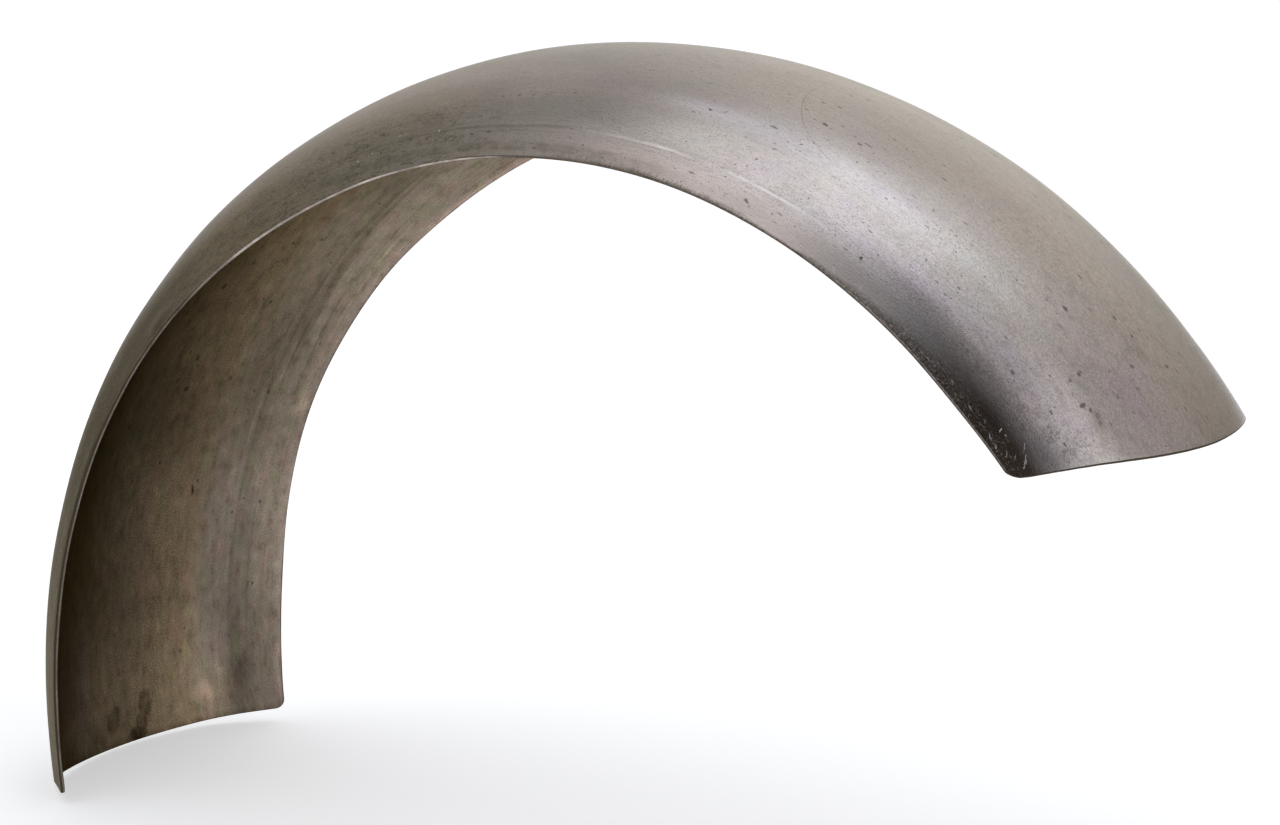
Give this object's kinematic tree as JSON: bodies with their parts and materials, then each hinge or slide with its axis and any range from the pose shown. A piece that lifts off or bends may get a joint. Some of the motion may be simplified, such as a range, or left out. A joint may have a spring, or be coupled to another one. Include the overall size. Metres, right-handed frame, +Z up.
{
  "type": "motorcycle rear fender",
  "caption": "Plain round rear fender for a motorcycle: a single rolled and pressed sheet of bare steel with turned-down skirts, straight-cut ends and rounded corners.",
  "frame": {"origin": "centre of the wheel axle that the fender is rolled round, midway between its two skirts", "axes": "+Y along the axle, +Z up, +X towards the fender's higher, level-cut end"},
  "size_m": [0.625, 0.182, 0.3901],
  "materials": {
    "bare_steel": "satin bare steel as pressed, with pits, stains and fine scratches"
  },
  "bodies": {
    "root": {"fender_shell": "bare_steel"}
  },
  "joints": []
}
